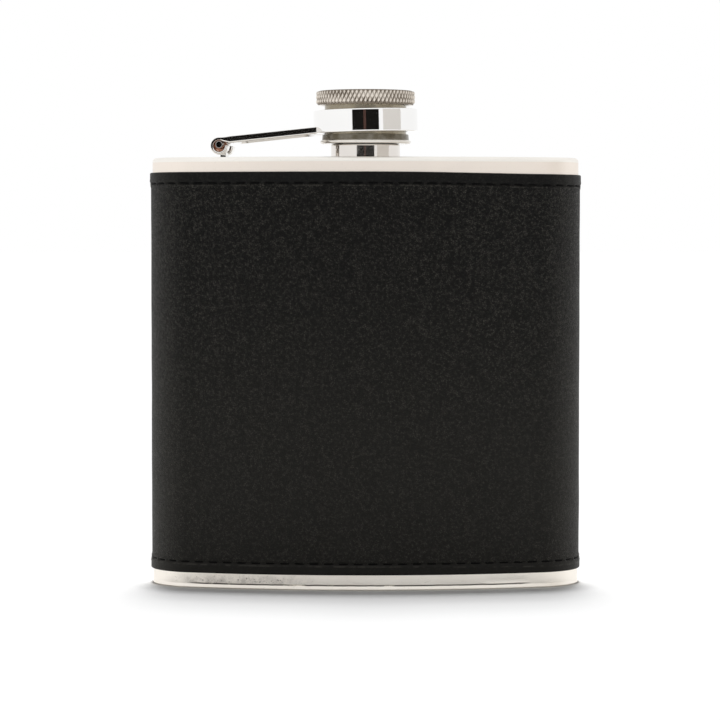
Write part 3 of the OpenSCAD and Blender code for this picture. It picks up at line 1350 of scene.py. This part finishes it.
@dataclass
class Cap:
    """The captive cap: a knurled head, a threaded bush, the skirt under the ring, and the seal."""

    plan: Plan
    rim: float = 95.95
    bush_low: float = 96.0
    bush_r: float = 8.85
    bore_r: float = 7.15
    head_z: float = 104.2
    head_r: float = 10.75
    head_h: float = 3.2
    chamfer: float = 0.45
    spigot_r: float = 4.0
    spigot_h: float = 1.4
    seal_z: float = 101.45
    seal_t: float = 1.2
    seal_r: float = 7.05
    seal_gap: float = 0.03
    rim_r: float = 9.9
    roll_r: float = 0.4
    # painted shade: its hollow colour darkens the cuts of the knurl
    nickel: Metal = Metal("knurled nickel", (0.80, 0.735, 0.655), (0.68, 0.62, 0.545),
                          rough=0.22, lines=0.08, brush=Brush.ROUND_CAP, smudge=0.12, axis_y=CAP_Y,
                          grooves=(0.01042, 0.0107), hollow_shade_colour=(0.16, 0.13, 0.10))
    # painted shade: its hollow colour darkens the skirt's flank under the ring
    steel: Metal = Metal("polished steel", (0.83, 0.80, 0.75), (0.70, 0.665, 0.62),
                         rough=0.09, lines=0.05, brush=Brush.ROUND_CAP, line_depth=6e-7, smudge=0.06,
                         axis_y=CAP_Y, grooves=(0.00945, 0.0096), hollow_shade_colour=(0.11, 0.095, 0.066))
    # painted shade on the bush's outside, in the gap between the head and the ring
    bush_shade_colour: Colour = (0.27, 0.235, 0.17)
    plastic: Plastic = Plastic(axis_y=CAP_Y)

    @property
    def axis(self) -> Point:
        """Where the cap's axis stands."""
        return 0.0, self.plan.cap_y

    def build(self) -> None:
        """Builds the head, the bush, the skirt and the seal."""
        self.head()
        # the bush gets its own painted shade colour for the gap under the head
        self.bush(replace(self.steel, name="bush steel with painted shade", hollow_shade_colour=self.bush_shade_colour).material())
        self.skirt(self.steel.material())
        self.disc()

    def head(self) -> None:
        """Builds the knurled head."""
        low, high = self.head_z, self.head_z + self.head_h
        inner = self.head_r - self.chamfer
        side = np.arange(low + 0.15 + self.chamfer, high - self.chamfer + 0.01, 0.09)
        profile = [(0, low + self.spigot_h), (self.spigot_r, low + self.spigot_h), (self.spigot_r, low),
                   (self.bush_r + 0.6, low), (inner - 0.05, low + 0.12), (inner, low + 0.15)]
        profile += [(inner + self.chamfer * t, low + 0.15 + self.chamfer * t) for t in (0.33, 0.66)]
        profile += [(self.head_r, z) for z in side]
        profile += [(self.head_r - self.chamfer * t, high - self.chamfer * (1 - (1 - t) ** 1.5))
                    for t in (0.25, 0.5, 0.75, 1)]
        profile += [(inner - 0.25, high), (inner - 1.2, high), (inner - 1.35, high - 0.06), (4, high - 0.08),
                    (0, high - 0.08)]
        cut = Knurl(low + 0.3, high - 0.1, starts=70, lean=27, depth=0.36, rim_r=self.head_r,
                    inner_r=inner - 0.15)
        solid = Solid()
        solid.turned(profile, 980, self.axis, cut)
        Piece("knurled_head", Body.CAP, Slot.KNURLED, ("cap_head",), 50).make(solid, self.nickel.material())

    def bush(self, material: bpy.types.Material) -> None:
        """Builds the threaded bush.

        Args:
            material: Its finish.
        """
        roof, low, top = self.seal_z + self.seal_t, self.bush_low, self.head_z
        profile = [(0, roof), (self.bore_r - 0.01, roof)]
        profile += [(self.bore_r, z) for z in np.arange(roof - 0.1, low + 0.45, -0.085)]
        profile += [(self.bore_r + 0.3, low), (self.bush_r - 0.2, low), (self.bush_r, low + 0.2),
                    (self.bush_r, (low + top) / 2), (self.bush_r, top), (self.spigot_r, top),
                    (self.spigot_r, top + self.spigot_h), (0, top + self.spigot_h)]
        cut = ScrewThread(low=96.75, pitch=PITCH, turns=3.3, depth=0.35, at_radius=self.bore_r)
        solid = Solid()
        solid.turned(profile, 240, self.axis, cut)
        Piece("threaded_bush", Body.CAP, Slot.POLISHED, ("cap_bush",)).make(solid, material)

    def skirt(self, material: bpy.types.Material) -> None:
        """Builds the flared skirt with its rolled rim.

        Args:
            material: Its finish.
        """
        roll = (self.rim_r - self.roll_r, self.rim + self.roll_r)
        profile = [(self.bush_r, self.rim + 0.1), (roll[0] - 0.3, self.rim + 0.06)]
        profile += arc(roll, self.roll_r, -90, 70, 14)
        profile += [(9.5, self.rim + 0.8), (9.42, self.rim + 0.98), (9.37, self.rim + 1.5),
                    (9.33, self.rim + 2.0), (9.28, self.rim + 2.05), (self.bush_r, self.rim + 2.05)]
        solid = Solid()
        solid.turned(profile, 240, self.axis, closed=True)
        Piece("rolled_skirt", Body.CAP, Slot.POLISHED, ("retaining_skirt",), 45).make(solid, material)

    def disc(self) -> None:
        """Builds the seal."""
        low, high = self.seal_z, self.seal_z + self.seal_t - self.seal_gap
        profile = [(0, low), (2, low), (5.4, low), (5.7, low + 0.05), (6.1, low + 0.05), (6.4, low)]
        profile += arc((self.seal_r - 0.2, low + 0.2), 0.2, -90, 0, 5)
        profile += arc((self.seal_r - 0.1, high - 0.1), 0.1, 0, 90, 4) + [(0, high)]
        solid = Solid()
        solid.turned(profile, 120, self.axis)
        Piece("seal_disc", Body.SEAL, Slot.SEAL, ("cap_seal",)).make(solid, self.plastic.material())


@dataclass
class Strap:
    """The pressed strap: a hollow bar whose end is rolled into an eye, split round the bracket's knuckle.

    Attributes:
        width: Its width.
        thick: Thickness of the bar at its edges.
        eye_z: Height of the eye's middle.
        eye_r: Outer radius of the eye.
        bore_r: Inner radius of the eye.
        tip: Angle at which the rolled end stops, in degrees.
        eye_steps: Number of points on the rolled end.
        rise: Slope of the bar, in degrees.
        notch_half: Half the width of the slot for the bracket's knuckle.
        notch_reach: How far the slot runs from the pin towards the ring.
        hollow: Depth of the pressed hollow.
        hollow_edge: Width of the rim beside the hollow.
        hollow_end: Distance from the pin at which the hollow stops.
        sink: How deep the end goes into the ring.
        start: Distance from the cap's axis at which the bar starts.
    """

    width: float = 10.2
    thick: float = 1.5
    eye_z: float = 95.55
    eye_r: float = 1.87
    bore_r: float = 1.25
    tip: float = 366.0
    eye_steps: int = 70
    rise: float = 6.0
    notch_half: float = 1.9
    notch_reach: float = 2.35
    hollow: float = 0.8
    hollow_edge: float = 0.8
    hollow_end: float = 3.4
    sink: float = 0.1
    start: float = 10.9

    def side(self, reach: float) -> tuple[np.ndarray, np.ndarray, np.ndarray]:
        """The strap in side view, from the ring to the tip of the eye.

        Args:
            reach: Distance from the cap's axis to the pin.

        Returns:
            The outer line, the inner line, and how far each of their points is past the straight part.
        """
        slope = math.tan(math.radians(self.rise))
        top = self.eye_z + self.eye_r
        straight = np.array([0, 0.07, 0.085, 0.2, 0.3, 0.45, 0.6, 0.72, 0.8, 0.86, 0.9, 0.94, 1])
        start, stop = self.start, reach - self.notch_reach
        x = -(start + (stop - start) * straight)
        outer = [np.stack([x, top + (x + reach) * slope], -1)]
        inner = [outer[0] - [0, self.thick]]
        t = np.linspace(0, 1, 12)[1:-1]
        x = -(stop + (reach - stop) * t)
        outer.append(np.stack([x, top + (x + reach) * slope * (1 - t)], -1))
        corner, angle = inner[0][-1], math.radians(48)
        meet = np.array([-reach + self.bore_r * math.cos(angle), self.eye_z + self.bore_r * math.sin(angle)])
        first = np.clip(t / 0.55, 0, 1)[:, None]
        turn = angle + (math.pi / 2 - angle) * np.clip((t - 0.55) / 0.45, 0, 1)
        bore = np.stack([-reach + self.bore_r * np.cos(turn), self.eye_z + self.bore_r * np.sin(turn)], -1)
        inner.append(np.where(first < 1, corner + (meet - corner) * first, bore))
        turn = np.radians(np.linspace(90, self.tip, self.eye_steps))
        ray = np.stack([np.cos(turn), np.sin(turn)], -1)
        outer.append([-reach, self.eye_z] + self.eye_r * ray)
        inner.append([-reach, self.eye_z] + self.bore_r * ray)
        past = np.concatenate([np.zeros(len(straight)), t, 1 + np.linspace(0, 1, self.eye_steps)])
        return np.concatenate(outer), np.concatenate(inner), past

    def shape(self, solid: Solid, reach: float, ring_r: float) -> None:
        """Adds the strap, in the frame of the cap's axis with the arm along -X.

        Args:
            solid: Where it is added.
            reach: Distance from the cap's axis to the pin.
            ring_r: Outer radius of the ring that its end meets.
        """
        half, notch = self.width / 2, self.notch_half
        near = np.array([0, 0.02, 0.06, 0.12, 0.2, 0.3, 0.42])
        rim = np.concatenate([near, self.hollow_edge + np.array([-0.1, 0.15, 0.5])])
        band = np.concatenate([-half + rim, -notch - near[::-1]])
        across = np.concatenate([band, np.linspace(-notch, notch, 7)[1:-1], -band[::-1]])
        outer, inner, past = self.side(reach)
        count = len(past)
        flat, rolled = smooth(past, 0.5, 1)[:, None], smooth(past, 1.3, 1.5)[:, None]
        from_side = half - np.abs(across)
        from_notch = np.where(np.abs(across) >= notch, np.abs(across) - notch, 9.0)
        edge = np.where(past[:, None] > 0, np.minimum(from_side, from_notch)[None], from_side[None])
        line = np.linalg.norm(np.diff(outer, axis=0, prepend=outer[:1]), axis=1)
        to_tip = (np.cumsum(line[::-1])[::-1] - line)[:, None]
        edge = np.minimum(edge, to_tip)
        ease = [np.where(edge < r, r - np.sqrt(np.clip(r * r - (r - edge) ** 2, 0, None)), 0)
                for r in (0.1 + 0.17 * rolled, 0.34 - 0.24 * flat + 0.17 * rolled)]
        depth = (outer - inner)[:, None]
        depth = depth / np.linalg.norm(depth, axis=-1, keepdims=True)
        top = outer[:, None] - depth * ease[0][..., None]
        bottom = inner[:, None] + depth * ease[1][..., None]
        # pressed hollow under the bar
        x = -inner[:, 0]
        ends = self.start + 1.5, reach - self.hollow_end
        pressed = smooth(x, ends[0] - 0.2, ends[0] + 0.2) * (1 - smooth(x, ends[1] - 0.3, ends[1]))
        pressed = pressed[:, None] * smooth(from_side, self.hollow_edge - 0.1, self.hollow_edge + 0.15)[None]
        bottom = bottom + depth * (self.hollow * pressed)[..., None]
        # the end follows the ring
        end = np.sqrt((ring_r - self.sink) ** 2 - across ** 2)
        stop = reach - self.notch_reach
        for face in (top, bottom):
            share = np.clip((-face[..., 0] - self.start) / (stop - self.start), 0, None)
            moved = -(end[None] + (stop - end[None]) * share)
            face[..., 0] = np.where(past[:, None] > 0, face[..., 0], moved)
        grid = np.stack([np.dstack([f[..., 0], np.broadcast_to(across, f.shape[:2]), f[..., 1]])
                         for f in (top, bottom)])
        slotted = np.arange(count - 1) >= np.argmax(past > 0) - 1
        kept = ~(slotted[:, None] & (np.abs((across[1:] + across[:-1]) / 2) < notch)[None])
        solid.slab(grid, kept)


@dataclass
class Arm:
    """The hinged arm: the ring, the strap with its rolled eye, the pin and the bracket."""

    plan: Plan
    reach: float = 31.4
    ring_r: float = 11.3
    bore_r: float = 9.55
    ring_h: float = 4.9
    ring_low: float = 98.4
    lean: float = 1.3
    pin_z: float = 95.85
    pin_r: float = 0.8
    pin_bore: float = 0.55
    pin_l: float = 10.2
    pin_deep: float = 2.5
    fillet: float = 0.22
    eased: float = 0.12
    strap: Strap = field(default_factory=Strap)

    @property
    def turn(self) -> float:
        """How far the arm is turned to follow the curved shoulder."""
        return math.asin(self.reach / (2 * self.plan.mid_r))

    def on_axis(self) -> Matrix:
        """The frame of the cap's axis, with the arm along -X."""
        return Matrix.Translation((0, self.plan.cap_y * MM, 0)) @ Matrix.Rotation(-self.turn, 4, "Z")

    def build(self) -> None:
        """Builds the ring and the pin, and dresses the strap and the bracket."""
        self.ring()
        self.pin()
        # painted shade: its hollow colour darkens the rolled eye's bore and the bracket's hole to a warm
        # brown
        steel = Metal("strap steel", (0.84, 0.82, 0.79), (0.72, 0.69, 0.66),
                      rough=0.07, lines=0.05, brush=Brush.ALONG_ARM, line_depth=3e-7, smudge=0.06,
                      scratch=0.1, arm_turn=self.turn, axis_y=self.plan.cap_y * MM,
                      grooves=(0.00127, 0.00134), hollow_shade_colour=(0.55, 0.27, 0.16),
                      axle=(-self.reach * MM, self.strap.eye_z * MM)).material()
        solid = Solid()
        self.strap.shape(solid, self.reach, self.ring_r)
        piece = Piece("rolled_strap", Body.ARM, Slot.POLISHED, ("arm_strap",), 60)
        strap = piece.make(solid, steel, self.on_axis())
        # the sheared sides are flat
        side = self.on_axis().to_3x3().col[1]
        for face in strap.data.polygons:
            face.use_smooth = abs(face.normal.dot(side)) < 0.999
        dress("hinge_bracket", steel, self.eased * MM)

    def ring(self) -> None:
        """Builds the polished ring that the cap turns in."""
        f, half = self.fillet, self.ring_h / 2
        outer, inner = self.ring_r - f, self.bore_r + f
        profile = arc((outer, -half + f), f, -90, 0) + arc((outer, half - f), f, 0, 90)
        profile += arc((inner, half - f), f, 90, 180) + arc((inner, -half + f), f, 180, 270)
        solid = Solid()
        solid.turned(profile, 288, closed=True)
        lean = Matrix.Translation((0, 0, (self.ring_low + half) * MM)) @ \
            Matrix.Rotation(-math.radians(self.lean), 4, "Y")
        mirror = Metal("mirror plate", (0.95, 0.945, 0.935), (0.90, 0.895, 0.885),
                       rough=0.035, lines=0.02, brush=Brush.ROUND_CAP, line_depth=2e-7, smudge=0.05)
        Piece("polished_ring", Body.ARM, Slot.MIRROR, ("cap_ring",)).make(
            solid, mirror.material(), self.on_axis() @ lean)

    def pin(self) -> None:
        """Builds the tubular pin."""
        half, e, deep = self.pin_l / 2, 0.1, self.pin_l / 2 - self.pin_deep
        profile = [(0, -deep), (self.pin_bore, -deep), (self.pin_bore, -half + e), (self.pin_bore + e, -half)]
        for end, start in ((-half + e, -90), (half - e, 0)):
            profile += arc((self.pin_r - e, end), e, start, start + 90, 4)
        profile += [(self.pin_bore + e, half), (self.pin_bore, half - e), (self.pin_bore, deep), (0, deep)]
        solid = Solid()
        solid.turned(profile, 64)
        # painted shade: the pin's bore is painted near black, for the dark of the hole
        dark = Metal("dark steel", (0.36, 0.345, 0.33), (0.2, 0.19, 0.18),
                     rough=0.28, lines=0.1, brush=Brush.ALONG_ARM, smudge=0.15, arm_turn=self.turn,
                     axis_y=self.plan.cap_y * MM, grooves=(0.00058, 0.00068),
                     hollow_shade_colour=(0.008, 0.007, 0.006), axle=(-self.reach * MM, self.pin_z * MM))
        place = self.on_axis() @ Matrix.Translation((-self.reach * MM, 0, self.pin_z * MM)) @ \
            Matrix.Rotation(math.pi / 2, 4, "X")
        Piece("hollow_pin", Body.FLASK, Slot.DARK, ("hinge_pin",)).make(solid, dark.material(), place)


@dataclass
class Studio:
    """The pale floor, the soft light and the camera."""

    camera_at: tuple[float, float, float] = (-0.0012, -0.6275, 0.0773)
    pitch: float = 2.59
    lens: float = 143.55
    card_y: float = -1.25
    card_half: float = 0.70
    card_low: float = 0.085
    card_high: float = 0.205
    floor_half: float = 9.0
    floor_tone: float = 0.9
    surround: float = 1.0
    fill: float = 0.24
    lamps: tuple[tuple[float, float, float], ...] = (
        (5, 6, 1.35), (11, 10, 0.8), (18, 12, 0.56), (26, 12, 0.36))

    def build(self) -> None:
        """Sets the stage."""
        self.floor()
        low, high, y = self.card_low, self.card_high, self.card_y
        self.card("dark_card", (-self.card_half, y, low), (self.card_half, y, high), (0.012, 0.011, 0.010))
        self.card("brown_card", (-0.1, y + 0.01, low), (0.02, y + 0.01, high), (0.10, 0.055, 0.045))
        self.card("grey_card", (1.0, y, 0), (1.6, -0.17, 0.5), (0.96, 0.92, 0.87))
        self.world()
        for tilt, width, energy in self.lamps:
            self.lamp(tilt, width, energy)
        self.camera()
        bpy.context.scene.view_settings.view_transform = "Standard"

    def plane(self, name: str, corners: list[tuple[float, float, float]], colour: Colour) -> bpy.types.Object:
        """A flat stage piece.

        Args:
            name: Its name.
            corners: Its four corners.
            colour: Its colour.

        Returns:
            The object.
        """
        mesh = bpy.data.meshes.new(name)
        mesh.from_pydata(corners, [], [(0, 1, 2, 3)])
        shader = Shader(name)
        soft = shader.noise(2, 2)
        mesh.materials.append(shader.finish(
            Base_Color=shader.blend(soft, colour, tuple(c * 0.99 for c in colour)), Roughness=0.9,
            Specular_IOR_Level=0.0))
        plane = bpy.data.objects.new(name, mesh)
        bpy.context.scene.collection.objects.link(plane)
        return plane

    def floor(self) -> None:
        """Lays the pale floor."""
        r, pale = self.floor_half, self.floor_tone
        self.plane("floor", [(-r, -r, 0), (r, -r, 0), (r, r, 0), (-r, r, 0)], (pale, pale, pale))

    def card(self, name: str, low: tuple[float, float, float], high: tuple[float, float, float],
             colour: Colour) -> None:
        """Stands a card beside the set, which shows only in the polished metal.

        Args:
            name: Its name.
            low: Its lowest corner.
            high: Its highest corner.
            colour: Its colour.
        """
        card = self.plane(name, [low, (high[0], high[1], low[2]), high, (low[0], low[1], high[2])], colour)
        card.visible_camera = False
        card.visible_diffuse = False
        card.visible_shadow = False

    def world(self) -> None:
        """Surrounds everything with white, which lights less than it shows."""
        world = bpy.data.worlds.new("white surround")
        world.use_nodes = True
        tree = Tree(world.node_tree)
        path = tree.node("ShaderNodeLightPath")
        level = tree.node("ShaderNodeMapRange", {}, {
            "Value": path.outputs["Is Diffuse Ray"], "To Min": self.surround, "To Max": self.fill})
        background = world.node_tree.nodes["Background"]
        tree.feed(background.inputs["Color"], (1, 1, 1))
        tree.feed(background.inputs["Strength"], level.outputs["Result"])
        bpy.context.scene.world = world

    def lamp(self, tilt: float, width: float, energy: float) -> None:
        """Hangs one part of the long soft lamp above and behind the flask.

        Args:
            tilt: How far behind the flask it hangs, in degrees.
            width: How wide it looks, in degrees.
            energy: Its strength.
        """
        lamp = bpy.data.lights.new("overhead", "SUN")
        lamp.energy = energy
        lamp.angle = math.radians(width)
        hung = bpy.data.objects.new("overhead", lamp)
        hung.rotation_euler = (math.radians(-tilt), 0, 0)
        hung.visible_glossy = False
        bpy.context.scene.collection.objects.link(hung)

    def camera(self) -> None:
        """Sets up the camera."""
        eye = bpy.data.cameras.new("camera")
        eye.lens, eye.sensor_width = self.lens, 36
        eye.clip_start, eye.clip_end = 0.01, 50
        camera = bpy.data.objects.new("camera", eye)
        camera.location = self.camera_at
        camera.rotation_euler = (math.radians(90 - self.pitch), 0, 0)
        bpy.context.scene.collection.objects.link(camera)
        bpy.context.scene.camera = camera


def main() -> None:
    """Builds the pieces in order."""
    logging.basicConfig(level=logging.INFO, format="%(name)s: %(message)s")
    plan = Plan()
    for group in (Studio(), SteelBody(plan), Wrap(plan), Neck(plan), Cap(plan), Arm(plan)):
        group.build()
        log.info("%s built", type(group).__name__)


if __name__ == "__main__":
    main()
